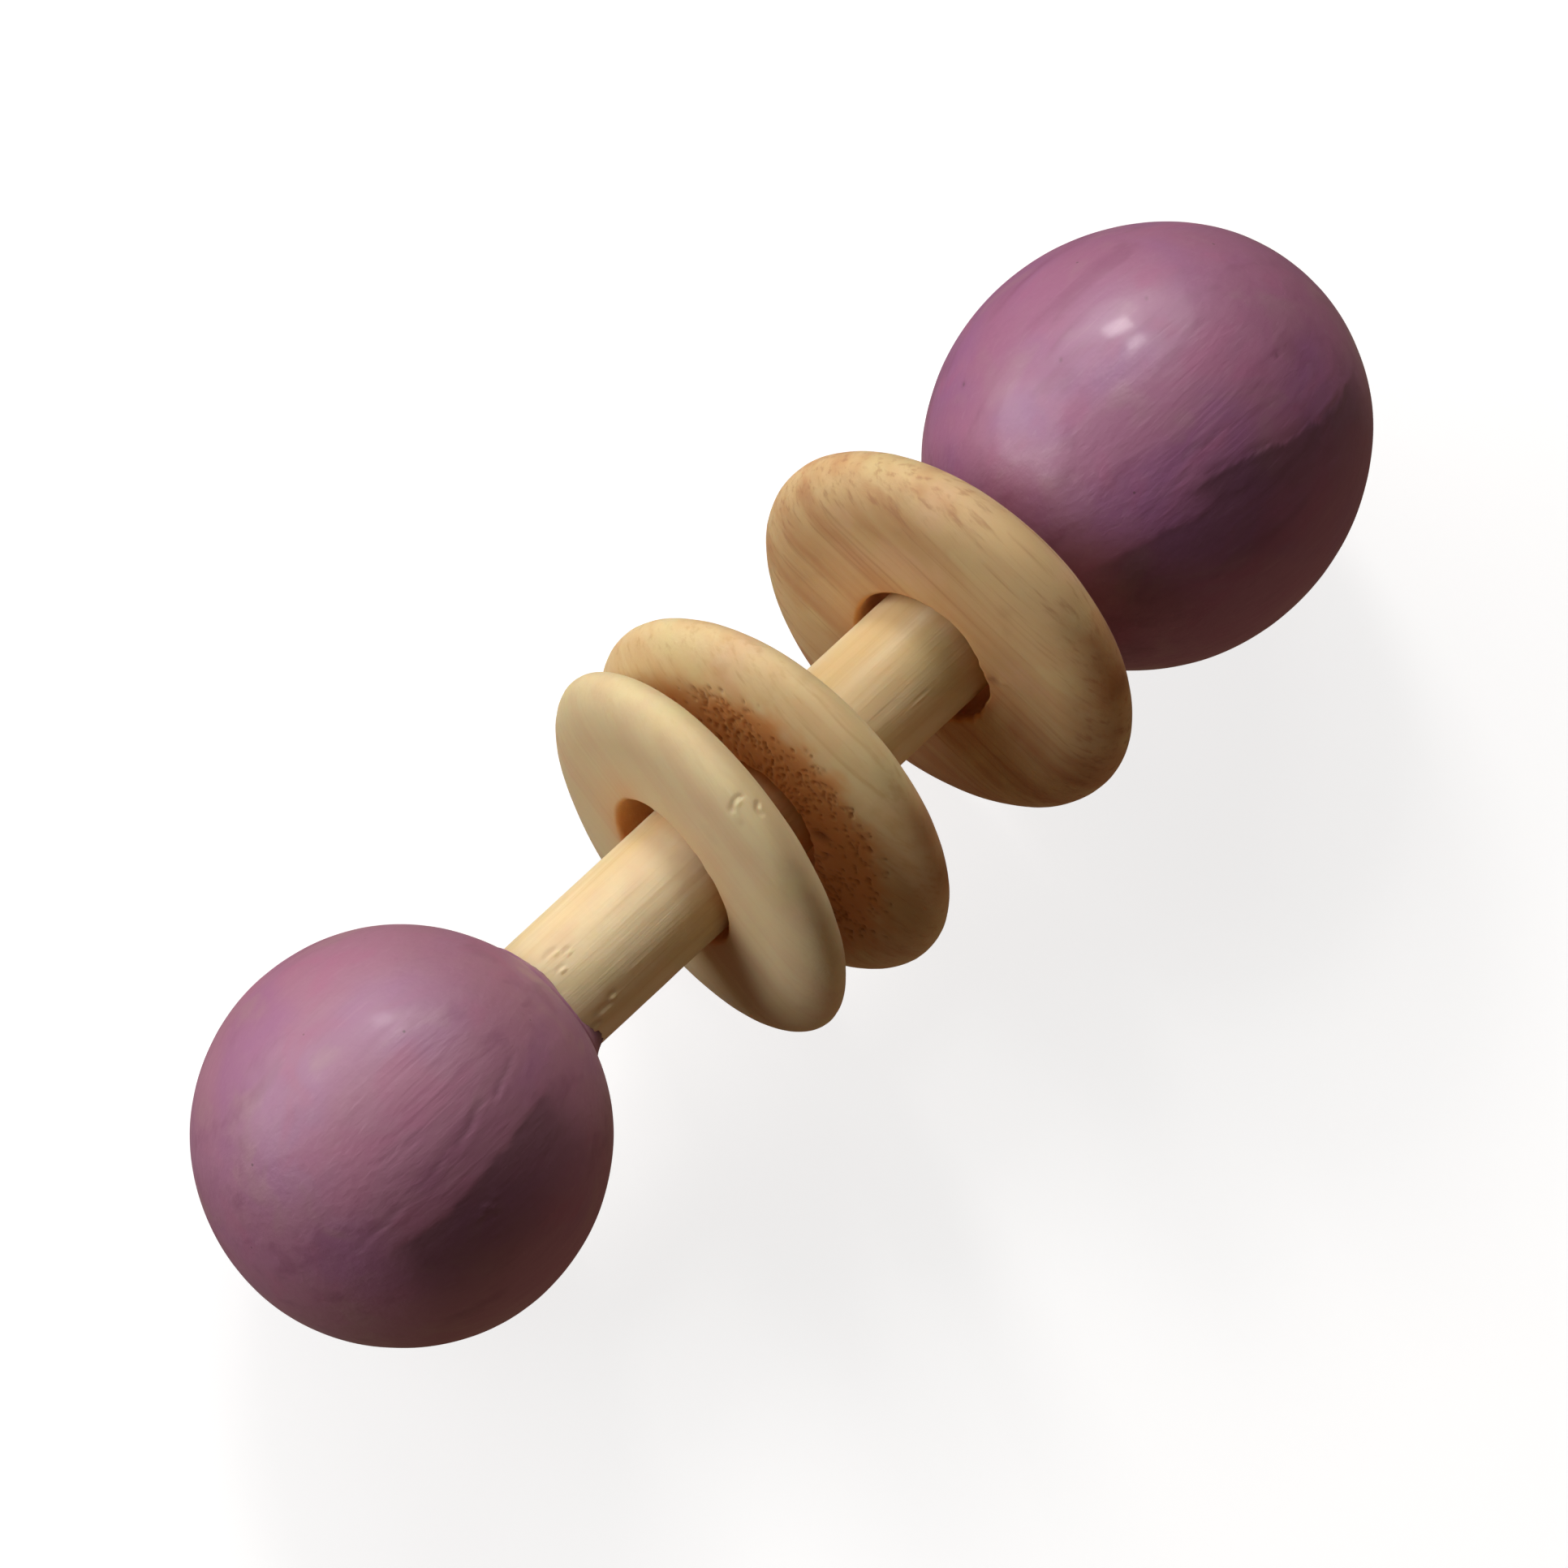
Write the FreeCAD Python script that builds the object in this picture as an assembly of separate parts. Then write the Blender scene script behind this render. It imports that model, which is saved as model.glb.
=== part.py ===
"""Baby rattle: a wooden dowel with a painted ball on each end and three loose wooden rings on it.

Row frame, in millimetres: the rattle lies on its side on the plane z = 0. The dowel runs along +X,
from the small ball to the large ball, and +Z is up. The origin is under the middle of the rattle.
The two balls are glued onto the dowel. Each ring slides along the dowel on its own, and lies
tipped, as a loose ring does when its rim meets the table.
"""
import FreeCAD, Part
import math
import os

# Dowel
DOWEL_RADIUS = 6.35
DOWEL_END_CHAMFER = 0.8

# Balls: the large one is drawn out a little along the dowel
SMALL_BALL_RADIUS = 19.7
LARGE_BALL_RADIUS = 20.85
LARGE_BALL_HALF_LENGTH = 22.5
BALL_SPACING = 99.75
BORE_DEPTH_PAST_CENTRE = 6.0
BORE_END_GAP = 1.0
COLLAR_FLAT_RADIUS = 7.3

# Rings: what the three share
RING_HOLE_RADIUS = 8.0
RING_HOLE_EASING = 0.45
RING_RIM_ROUNDING = 5.5
SAME_SIZE = 0.001

# Rings one by one: place along the dowel from the small ball's centre, offset of the ring's centre
# across the dowel (y, z), offset of the hole in the ring (y, z), outer radius, thickness, lean of
# the top towards the large ball and turn about the vertical, in degrees
RINGS = {
    "ring_1": dict(
        x=39.5, centre=(0.5, 0.5), hole=(0.15, -1.0), radius=20.05, thickness=6.0, lean=4.2, turn=-6.2
    ),
    "ring_2": dict(
        x=48.75, centre=(-0.2, 0.2), hole=(0.0, -0.4), radius=20.62, thickness=6.0, lean=12.2, turn=1.8
    ),
    "ring_3": dict(
        x=72.3, centre=(0.0, 0.55), hole=(-0.4, -0.9), radius=20.85, thickness=7.4, lean=14.2, turn=3.4
    ),
}

AXIS = FreeCAD.Vector(1, 0, 0)
small_ball_x = (SMALL_BALL_RADIUS - BALL_SPACING - LARGE_BALL_HALF_LENGTH) / 2
large_ball_x = small_ball_x + BALL_SPACING
axis_height = LARGE_BALL_RADIUS


def on_axis(x):
    return FreeCAD.Vector(x, 0, axis_height)


def turned(sides):
    """Solid of revolution about the X axis from the closed outline that the given edges make."""
    outline = Part.Wire(Part.__sortEdges__([side.toShape() for side in sides]))
    return Part.Face(outline).revolve(FreeCAD.Vector(), AXIS, 360)


def straight(points):
    return [Part.LineSegment(start, end) for start, end in zip(points, points[1:])]


def ball(centre_x, radius, half_length, inward):
    """Turned ball with a blind bore for the dowel and a small flat where the dowel enters.

    inward is +1 when the dowel leaves towards +X, and -1 towards -X."""
    flat_x = half_length * math.sqrt(1 - (COLLAR_FLAT_RADIUS / radius) ** 2)
    bore_end_x = -BORE_DEPTH_PAST_CENTRE - BORE_END_GAP
    pole = FreeCAD.Vector(-half_length, 0, 0)
    sides = straight(
        [
            FreeCAD.Vector(flat_x, 0, COLLAR_FLAT_RADIUS),
            FreeCAD.Vector(flat_x, 0, DOWEL_RADIUS),
            FreeCAD.Vector(bore_end_x, 0, DOWEL_RADIUS),
            FreeCAD.Vector(bore_end_x, 0, 0),
            pole,
        ]
    )
    profile = Part.Ellipse(pole, FreeCAD.Vector(0, 0, radius), FreeCAD.Vector())
    start, end = sorted(
        [profile.parameter(pole) % (2 * math.pi), profile.parameter(sides[0].StartPoint)]
    )
    sides.append(Part.ArcOfEllipse(profile, start, end))
    body = turned(sides)
    if inward < 0:
        body.rotate(FreeCAD.Vector(), FreeCAD.Vector(0, 0, 1), 180)
    body.translate(on_axis(centre_x))
    return body


def handle_dowel():
    """Straight round dowel, each end chamfered and seated short of the bottom of its bore."""
    start = small_ball_x - BORE_DEPTH_PAST_CENTRE
    length = BALL_SPACING + 2 * BORE_DEPTH_PAST_CENTRE
    rod = Part.makeCylinder(DOWEL_RADIUS, length, on_axis(start), AXIS)
    ends = [edge for edge in rod.Edges if isinstance(edge.Curve, Part.Circle)]
    return rod.makeChamfer(DOWEL_END_CHAMFER, ends)


def ring_blank(radius, thickness):
    """Solid disc with a fully rounded rim, turned about the X axis, centred on the origin."""
    half = thickness / 2
    face_radius = radius - RING_RIM_ROUNDING
    sides = straight(
        [
            FreeCAD.Vector(half, 0, face_radius),
            FreeCAD.Vector(half, 0, 0),
            FreeCAD.Vector(-half, 0, 0),
            FreeCAD.Vector(-half, 0, face_radius),
        ]
    )
    centre = FreeCAD.Vector(0, 0, face_radius)
    rim = Part.Ellipse(FreeCAD.Vector(0, 0, radius), sides[0].StartPoint, centre)
    sides.append(Part.ArcOfEllipse(rim, -math.pi / 2, math.pi / 2))
    return turned(sides)


def ring(x, centre, hole, radius, thickness, lean, turn):
    """Loose ring: rounded disc with an eased hole a little off its centre, tipped on the dowel."""
    blank = ring_blank(radius, thickness)
    start = FreeCAD.Vector(-thickness, hole[0], hole[1])
    drilled = blank.cut(Part.makeCylinder(RING_HOLE_RADIUS, 2 * thickness, start, AXIS))
    mouths = [
        edge
        for edge in drilled.Edges
        if isinstance(edge.Curve, Part.Circle) and edge.Curve.Radius < RING_HOLE_RADIUS + SAME_SIZE
    ]
    eased = drilled.makeFillet(RING_HOLE_EASING, mouths)
    eased.rotate(FreeCAD.Vector(), FreeCAD.Vector(0, 1, 0), lean)
    eased.rotate(FreeCAD.Vector(), FreeCAD.Vector(0, 0, 1), turn)
    eased.translate(on_axis(small_ball_x + x) + FreeCAD.Vector(0, centre[0], centre[1]))
    return eased


def build():
    parts = {
        "handle_dowel": handle_dowel(),
        "end_ball_small": ball(small_ball_x, SMALL_BALL_RADIUS, SMALL_BALL_RADIUS, 1),
        "end_ball_large": ball(large_ball_x, LARGE_BALL_RADIUS, LARGE_BALL_HALF_LENGTH, -1),
    }
    for name, sizes in RINGS.items():
        parts[name] = ring(**sizes)
    return parts


os.makedirs("parts", exist_ok=True)
parts = build()
for name, shape in parts.items():
    shape.exportStep("parts/" + name + ".step")
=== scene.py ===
"""Looks of a wooden baby rattle: a bare dowel, two brush-painted balls and three loose bare rings.

Each CAD node is replaced by a denser mesh of the same size, turned about the same axis, that adds
what hands and tools leave: wobble from sanding, brush ridges, pits, nicks and flakes. Meshes are
made in each piece's own frame, with X along the axis it was turned about, and sizes are in metres.
Only single marks are given in millimetres and degrees: their place along X, angle about X and size.
"""

import math

import bmesh
import bpy
import numpy as np
from mathutils import Matrix, Vector


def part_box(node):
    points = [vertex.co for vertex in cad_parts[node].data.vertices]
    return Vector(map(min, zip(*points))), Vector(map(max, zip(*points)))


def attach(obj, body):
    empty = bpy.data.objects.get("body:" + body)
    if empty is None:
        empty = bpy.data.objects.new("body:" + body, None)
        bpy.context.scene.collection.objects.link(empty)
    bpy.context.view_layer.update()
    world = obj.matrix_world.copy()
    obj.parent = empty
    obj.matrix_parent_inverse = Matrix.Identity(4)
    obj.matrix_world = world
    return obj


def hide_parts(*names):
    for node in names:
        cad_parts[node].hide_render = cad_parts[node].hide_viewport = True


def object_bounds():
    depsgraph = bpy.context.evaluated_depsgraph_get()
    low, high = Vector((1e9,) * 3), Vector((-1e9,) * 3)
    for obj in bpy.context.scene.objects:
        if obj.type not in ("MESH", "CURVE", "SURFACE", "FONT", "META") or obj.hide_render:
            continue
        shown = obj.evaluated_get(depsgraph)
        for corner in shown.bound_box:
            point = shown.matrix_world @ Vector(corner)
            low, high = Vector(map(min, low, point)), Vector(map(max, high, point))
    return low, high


MM = 0.001

# Shape details that the CAD boxes don't give, and what the looks add to them
COLLAR_FLAT_RADIUS = 7.3 * MM
PAINT_LIP = 0.3 * MM
PAINT_CREEP = 1.9 * MM
BORE_DEPTH_PAST_CENTRE = 7.0 * MM
DOWEL_CHAMFER = 0.8 * MM
RING_RIM_ROUNDING = 5.5 * MM
RING_HOLE_EASING = 0.45 * MM
FRAYED_MOUTH = 0.95 * MM

# A ring's hole is told from its rim by how far out it lies, as a share of the ring's radius
HOLE_REACH = 0.55

# Mesh density: points around the axis, points on arcs, and the spacing of points along an outline
BALL_TURNS = 360
DOWEL_TURNS = 320
RING_TURNS = 560
LIP_STEPS = 10
RIM_STEPS = 56
EASING_STEPS = 5
OUTLINE_SPACING = 0.36 * MM
PITTED_SPACING = 0.17 * MM
FLAKED_SPACING = 0.12 * MM
HIDDEN_SPACING = 1.0 * MM
BORE_SPACING = 3.0 * MM

# Radius of the small fan of triangles that closes an outline on the axis
BORE_FAN = 0.6 * MM
DOWEL_FAN = 0.5 * MM

# Unevenness from turning, sanding and painting: layers of (height, size of its lumps)
BALL_UNEVEN = ((0.10 * MM, 15 * MM), (0.035 * MM, 5 * MM), (0.007 * MM, 1.6 * MM))
DOWEL_UNEVEN = (
    (0.030 * MM, (22 * MM, 3 * MM, 3 * MM)),
    (0.006 * MM, (14 * MM, 0.8 * MM, 0.8 * MM)),
    (0.012 * MM, 2.5 * MM),
)
RING_UNEVEN = ((0.055 * MM, 9 * MM), (0.022 * MM, 3 * MM), (0.010 * MM, (0.8 * MM, 8 * MM, 0.8 * MM)))

# Paint: brush strokes on each ball, the step at the edge of a coat, how dark a scratch is, how fast
# a dent darkens per mm of depth, and the blot where paint ran out along the dowel and the painted
# shade in the joint is darkest, in degrees
BRUSH_STROKES = 34
COAT_STEP = 0.05 * MM
SCRATCH_DARKNESS = 0.35
DENT_DARKENING = 7
BLOT_ANGLE = 157
BLOT_WIDTH = 28

# Flakes torn up on the dowel: (distance from the small ball, angle, length, width, height)
DOWEL_FLAKES = (
    (2.6, 62, 0.8, 0.42, 0.20),
    (3.9, 70, 0.5, 0.36, 0.15),
    (2.2, 78, 0.6, 0.32, 0.14),
    (3.0, 131, 1.1, 0.45, 0.20),
    (1.6, 139, 0.8, 0.45, 0.20),
    (4.4, 126, 0.6, 0.35, 0.14),
    (8.5, 118, 2.4, 0.30, 0.03),
    (46.0, 117, 1.3, 0.25, 0.08),
    (14.0, -60, 1.8, 0.40, 0.12),
    (30.0, -120, 1.2, 0.40, 0.12),
)

# Rings: how far from the axis a pitted ring's torn face reaches, in mm, how far from a hole the
# frayed fibres start, and how dark or brown pits and smudges are
TORN_REACH = 17.8
FRAY_REACH = 2.4 * MM
PIT_DARKNESS = 0.55
SMUDGE_DARKNESS = 0.42
SMUDGE_BROWNING = 0.75

# Colours in the paint
DARK_SWATHE = (0.21, 0.052, 0.125, 1)
DARK_BRISTLE = (0.17, 0.05, 0.10, 1)
PALE_BRISTLE = (0.48, 0.26, 0.34, 1)
SPECK = (0.07, 0.03, 0.04, 1)
# Dark plum of scratches and dents; the same colour is painted shade on the balls' lower sides and in
# the joint with the dowel
DARK_PAINT_AND_SHADE = (0.05, 0.012, 0.022, 1)

# Colours in the wood
ROSY_CLOUD = (0.72, 0.46, 0.28, 1)
YELLOW_CLOUD = (0.68, 0.58, 0.28, 1)
PORE = (0.36, 0.18, 0.07, 1)
# Brown of torn wood, also used as painted shade on the dowel between two rings
TORN_AND_SHADED_WOOD = (0.68, 0.30, 0.095, 1)
DRILLED_WOOD = (0.74, 0.37, 0.125, 1)
WORN_WOOD = (0.17, 0.05, 0.014, 1)

# Main view: the camera stands a little off the vertical, towards the small ball
VIEW_LEAN = 16.0
DOWEL_SLOPE = 42.79
CAMERA_DISTANCE = 0.920
CAMERA_LENS = 223.6
FRAMING = (-0.62 * MM, -0.73 * MM)

# Floor and the wall round it
FLOOR_REACH = 3.0
WALL_HEIGHT = 3.0
FLOOR_FAN = 0.02
FLOOR_SPACING = 0.2
FLOOR_TURNS = 96
FLOOR_CURVE_STEPS = 16

# Light from all round: the dim room, and the floor's bounce
ROOM = (0.050, 0.031, 0.020, 1)
BOUNCE = (0.135, 0.076, 0.048, 1)

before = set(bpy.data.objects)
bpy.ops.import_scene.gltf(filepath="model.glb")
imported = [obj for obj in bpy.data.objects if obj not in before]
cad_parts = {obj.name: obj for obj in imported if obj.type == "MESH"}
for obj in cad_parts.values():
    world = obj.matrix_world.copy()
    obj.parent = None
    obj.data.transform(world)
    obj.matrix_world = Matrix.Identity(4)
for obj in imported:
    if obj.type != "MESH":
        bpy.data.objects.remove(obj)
cad_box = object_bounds()


# ---------------------------------------------------------------- measuring the CAD nodes


def mid(node):
    """Middle of a CAD node's box at rest."""
    low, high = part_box(node)
    return (low + high) / 2


def measure_dowel():
    """Radius, length and middle of the dowel."""
    low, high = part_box("handle_dowel")
    return (high.z - low.z) / 2, high.x - low.x, (low + high) / 2


def measure_ball(node, inward):
    """Radius, half length along the dowel and centre of a ball whose dowel leaves towards inward."""
    low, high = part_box(node)
    radius = (high.z - low.z) / 2
    flat_share = math.sqrt(1 - (COLLAR_FLAT_RADIUS / radius) ** 2)
    half_length = (high.x - low.x) / (1 + flat_share)
    pole = low.x if inward > 0 else high.x
    centre = Vector((pole + inward * half_length, (low.y + high.y) / 2, (low.z + high.z) / 2))
    return radius, half_length, centre


def measure_ring(node):
    """Radius, thickness, hole radius, hole offset and placement of a ring, from its CAD mesh."""
    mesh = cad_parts[node].data
    spread = np.zeros((3, 3))
    for face in mesh.polygons:
        normal = np.array(face.normal)
        spread += face.area * np.outer(normal, normal)
    axis = Vector(np.linalg.eigh(spread)[1][:, 2])
    if axis.x < 0:
        axis.negate()
    side = Vector((0, 0, 1)).cross(axis).normalized()
    turn = Matrix((axis, side, axis.cross(side))).transposed().to_4x4()
    placement = Matrix.Translation(mid(node)) @ turn
    middle = np.array(turn.to_3x3().transposed() @ mid(node))
    local = vertex_values(mesh, "co") @ np.array(turn.to_3x3()) - middle
    across = np.hypot(local[:, 1], local[:, 2])
    thickness = np.ptp(local[:, 0])
    between_faces = np.abs(local[:, 0]) < thickness / 2 - RING_HOLE_EASING / 2
    wall = local[between_faces & (across < HOLE_REACH * across.max())]
    hole = (wall[:, 1:].max(0) + wall[:, 1:].min(0)) / 2
    hole_radius = np.ptp(wall[:, 1:], axis=0).mean() / 2
    return across.max(), thickness, hole_radius, hole, placement


# ---------------------------------------------------------------- noise and outlines


def smooth_noise(points, seed):
    """Smooth noise from -1 to 1 at each point, about one lump per unit.

    Each corner of the unit cell round a point gets a fixed value, mixed from its place and the seed."""
    cells = np.floor(points).astype(np.int64)
    part = points - cells
    part = part * part * part * (part * (part * 6 - 15) + 10)
    total = np.zeros(len(points))
    for corner in np.ndindex(2, 2, 2):
        x, y, z = (cells + np.array(corner)).T
        mixed = (x * 73856093) ^ (y * 19349663) ^ (z * 83492791) ^ (seed * 26544357)
        mixed = ((mixed ^ (mixed >> 13)) * 12741261) & 0xFFFFFFFF
        mixed = ((mixed ^ (mixed >> 15)) * 7460471) & 0xFFFFFF
        weight = np.prod(np.where(corner, part, 1 - part), axis=1)
        total += weight * (mixed / 0x7FFFFF - 1)
    return total


def lumps(points, size, seed):
    """Noise with lumps of the given size, which may differ along x, y and z.

    The shift by a half puts the piece's middle between the noise's cell corners."""
    return smooth_noise(points / (np.ones(3) * size) + 50.5, seed)


def uneven(points, layers, seed):
    """Height of layers of (height, size of its lumps), with seeds that follow on."""
    total = np.zeros(len(points))
    for number, (height, size) in enumerate(layers):
        total += height * lumps(points, size, seed + number)
    return total


def soft_step(value, start, end):
    """Share from 0 at start to 1 at end. start may be the larger of the two."""
    t = np.clip((value - start) / (end - start), 0, 1)
    return t * t * (3 - 2 * t)


def spaced(points, spacing):
    """The same line of (along, radius) points, with points at even spacing between its corners."""
    made = [points[0]]
    for start, end in zip(points, points[1:]):
        steps = max(1, round(math.dist(start, end) / spacing))
        way = np.array(end) - start
        made += [tuple(np.array(start) + way * (i + 1) / steps) for i in range(steps)]
    return made


def arc(centre, radii, start, end, steps):
    """Points on an ellipse about centre: radii are along X and outward, angles in degrees from X."""
    angles = np.radians(np.linspace(start, end, steps))
    return [(centre[0] + radii[0] * math.cos(a), centre[1] + radii[1] * math.sin(a)) for a in angles]


def grid_mesh(name, points, closed, capped=(0, -1)):
    """Mesh over points[along the outline, around the axis, xyz].

    A closed outline joins its end to its start. An open one gets a middle point at its capped ends."""
    rows, turns = points.shape[:2]
    index = np.arange(rows * turns).reshape(rows, turns)
    here = index if closed else index[:-1]
    there = np.roll(index, -1, axis=0) if closed else index[1:]
    corners = [here, np.roll(here, -1, 1), np.roll(there, -1, 1), there]
    faces = np.stack(corners, -1).reshape(-1, 4).tolist()
    vertices = points.reshape(-1, 3).tolist()
    if not closed:
        for row in capped:
            middle = len(vertices)
            vertices.append(points[row].mean(axis=0).tolist())
            edge = index[row].tolist()
            faces += [[middle, a, b] for a, b in zip(edge, edge[1:] + edge[:1])]
    mesh = bpy.data.meshes.new(name)
    mesh.from_pydata(vertices, [], faces)
    cleaner = bmesh.new()
    cleaner.from_mesh(mesh)
    bmesh.ops.recalc_face_normals(cleaner, faces=cleaner.faces)
    cleaner.to_mesh(mesh)
    cleaner.free()
    mesh.shade_smooth()
    return mesh


def turned(outline, turns, offset=None):
    """Points of an outline of (along, radius) turned about X. offset moves each circle in y and z."""
    angles = np.linspace(0, 2 * math.pi, turns, endpoint=False)
    along, radius = np.array(outline).T
    points = np.empty((len(outline), turns, 3))
    points[:, :, 0] = along[:, None]
    points[:, :, 1] = radius[:, None] * np.cos(angles)
    points[:, :, 2] = radius[:, None] * np.sin(angles)
    if offset is not None:
        points[:, :, 1:] += offset[:, None, :]
    return points


def vertex_values(mesh, what):
    """The vertices' places ("co") or normals ("normal"), as rows of x, y and z."""
    values = np.empty(len(mesh.vertices) * 3)
    mesh.vertices.foreach_get(what, values)
    return values.reshape(-1, 3)


def set_places(mesh, places):
    """Moves each vertex to its row of x, y and z."""
    mesh.vertices.foreach_set("co", places.ravel())
    mesh.update()


def raise_surface(mesh, lift):
    """Moves each vertex along its normal by lift."""
    set_places(mesh, vertex_values(mesh, "co") + vertex_values(mesh, "normal") * lift[:, None])


def mark(mesh, name, values):
    """Stores a value from 0 to 1 at each vertex, which the piece's material reads."""
    attribute = mesh.attributes.new(name, "FLOAT", "POINT")
    attribute.data.foreach_set("value", np.clip(values, 0, 1).astype(np.float32))


def place(name, mesh, placement, body, node, material):
    """Makes a piece of a mesh, which rides on the body and stands for the CAD node."""
    piece = bpy.data.objects.new(name, mesh)
    bpy.context.scene.collection.objects.link(piece)
    piece.matrix_world = placement
    mesh.materials.append(material)
    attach(piece, body)
    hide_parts(node)


# ---------------------------------------------------------------- node helpers


def new_material(name):
    """An empty node material, and its node tree."""
    material = bpy.data.materials.new(name)
    material.use_nodes = True
    material.node_tree.nodes.clear()
    return material, material.node_tree


def add(tree, kind, inputs=(), **settings):
    """Adds a shader node. inputs holds (socket, value or output to link) pairs."""
    node = tree.nodes.new(kind)
    for key, value in settings.items():
        setattr(node, key, value)
    for socket, value in inputs:
        if isinstance(value, bpy.types.NodeSocket):
            tree.links.new(value, node.inputs[socket])
        else:
            node.inputs[socket].default_value = value
    return node


def blend_colour(tree, share, a, b):
    """Colour a where share is 0, and b where it is 1."""
    return add(tree, "ShaderNodeMix", [(0, share), (6, a), (7, b)], data_type="RGBA").outputs[2]


def remap(tree, value, start, end, low=0.0, high=1.0):
    """Smooth change from low, where value is start, to high, where it is end."""
    pairs = [("Value", value), ("From Min", start), ("From Max", end)]
    pairs += [("To Min", low), ("To Max", high)]
    return add(tree, "ShaderNodeMapRange", pairs, interpolation_type="SMOOTHSTEP").outputs[0]


def noise(tree, where, size, detail=2.0, twist=0.0, seed=0.0):
    """Noise with lumps of size millimetres along x, y and z."""
    scale = tuple(1 / s for s in size)
    moved = add(
        tree,
        "ShaderNodeMapping",
        [("Vector", where), ("Location", (seed, seed * 1.7, seed * 0.6)), ("Scale", scale)],
    )
    pairs = [("Vector", moved.outputs[0]), ("Scale", 1.0), ("Detail", detail), ("Distortion", twist)]
    return add(tree, "ShaderNodeTexNoise", pairs).outputs["Fac"]


def own_millimetres(tree):
    """The piece's own coordinates, in millimetres."""
    own = add(tree, "ShaderNodeTexCoord").outputs["Object"]
    pairs = [(0, own), (1, (1 / MM, 1 / MM, 1 / MM))]
    return add(tree, "ShaderNodeVectorMath", pairs, operation="MULTIPLY").outputs[0]


def stored(tree, name):
    """The value that mark() stored under this name."""
    return add(tree, "ShaderNodeAttribute", attribute_name=name).outputs["Fac"]


def bump(tree, height, depth, below=None):
    """Bump of the given depth in metres, on top of another bump."""
    pairs = [("Height", height), ("Distance", depth), ("Strength", 1.0)]
    if below is not None:
        pairs.append(("Normal", below))
    return add(tree, "ShaderNodeBump", pairs).outputs[0]


def finish_material(tree, pairs):
    """Adds the surface shader with these inputs, and the output."""
    shader = add(tree, "ShaderNodeBsdfPrincipled", pairs)
    add(tree, "ShaderNodeOutputMaterial", [("Surface", shader.outputs[0])])


# ---------------------------------------------------------------- materials


def paint_material(name, seed, tints, roughness, coat):
    """Mauve paint brushed on along the dowel in thin uneven coats.

    tints holds the main, pink, violet and grey tint. coat is how much varnish-like gloss it has."""
    material, tree = new_material(name)
    where = own_millimetres(tree)
    main, pink, violet, grey = [tint + (1,) for tint in tints]

    broad = noise(tree, where, (15, 12, 12), detail=1.5, twist=0.3, seed=seed)
    clouds = noise(tree, where, (9, 6, 6), detail=2.5, twist=0.6, seed=seed + 11)
    swathes = noise(tree, where, (22, 3.2, 3.2), detail=2.5, twist=0.35, seed=seed + 5)
    bristles = noise(tree, where, (10, 0.55, 0.55), detail=3.0, twist=0.2, seed=seed + 8)
    mottle = noise(tree, where, (2.2, 1.6, 1.6), detail=3.0, seed=seed + 15)

    colour = blend_colour(tree, remap(tree, broad, 0.40, 0.62), main, violet)
    colour = blend_colour(tree, remap(tree, clouds, 0.52, 0.70, high=0.6), colour, pink)
    colour = blend_colour(tree, remap(tree, clouds, 0.45, 0.28, high=0.7), colour, grey)
    colour = blend_colour(tree, remap(tree, swathes, 0.54, 0.72, high=0.42), colour, DARK_SWATHE)
    colour = blend_colour(tree, remap(tree, bristles, 0.54, 0.80, high=0.14), colour, DARK_BRISTLE)
    colour = blend_colour(tree, remap(tree, bristles, 0.42, 0.22, high=0.16), colour, PALE_BRISTLE)
    colour = blend_colour(tree, remap(tree, mottle, 0.35, 0.70, high=0.16), colour, grey)

    # Specks of dust, one at most in each cell of about 5 mm
    cells = add(tree, "ShaderNodeTexVoronoi", [("Vector", where), ("Scale", 0.19), ("Randomness", 1.0)])
    dust = remap(tree, cells.outputs["Distance"], 0.036, 0.016, high=0.7)
    colour = blend_colour(tree, dust, colour, SPECK)
    # Scratches and dents, and painted shade on the lower side and in the joint with the dowel
    colour = blend_colour(tree, stored(tree, "worn_and_shaded"), colour, DARK_PAINT_AND_SHADE)

    shine = remap(tree, clouds, 0.3, 0.7, roughness - 0.05, roughness + 0.07)
    relief = bump(tree, bristles, 0.000035)
    relief = bump(tree, swathes, 0.00009, relief)
    relief = bump(tree, mottle, 0.00006, relief)
    finish_material(
        tree,
        [
            ("Base Color", colour),
            ("Roughness", shine),
            ("IOR", 1.6),
            ("Specular IOR Level", 0.80),
            ("Sheen Weight", 0.08),
            ("Sheen Roughness", 0.45),
            ("Sheen Tint", (1.0, 0.93, 0.84, 1)),
            ("Coat Weight", coat),
            ("Coat Roughness", 0.14),
            ("Normal", relief),
        ],
    )
    return material


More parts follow.
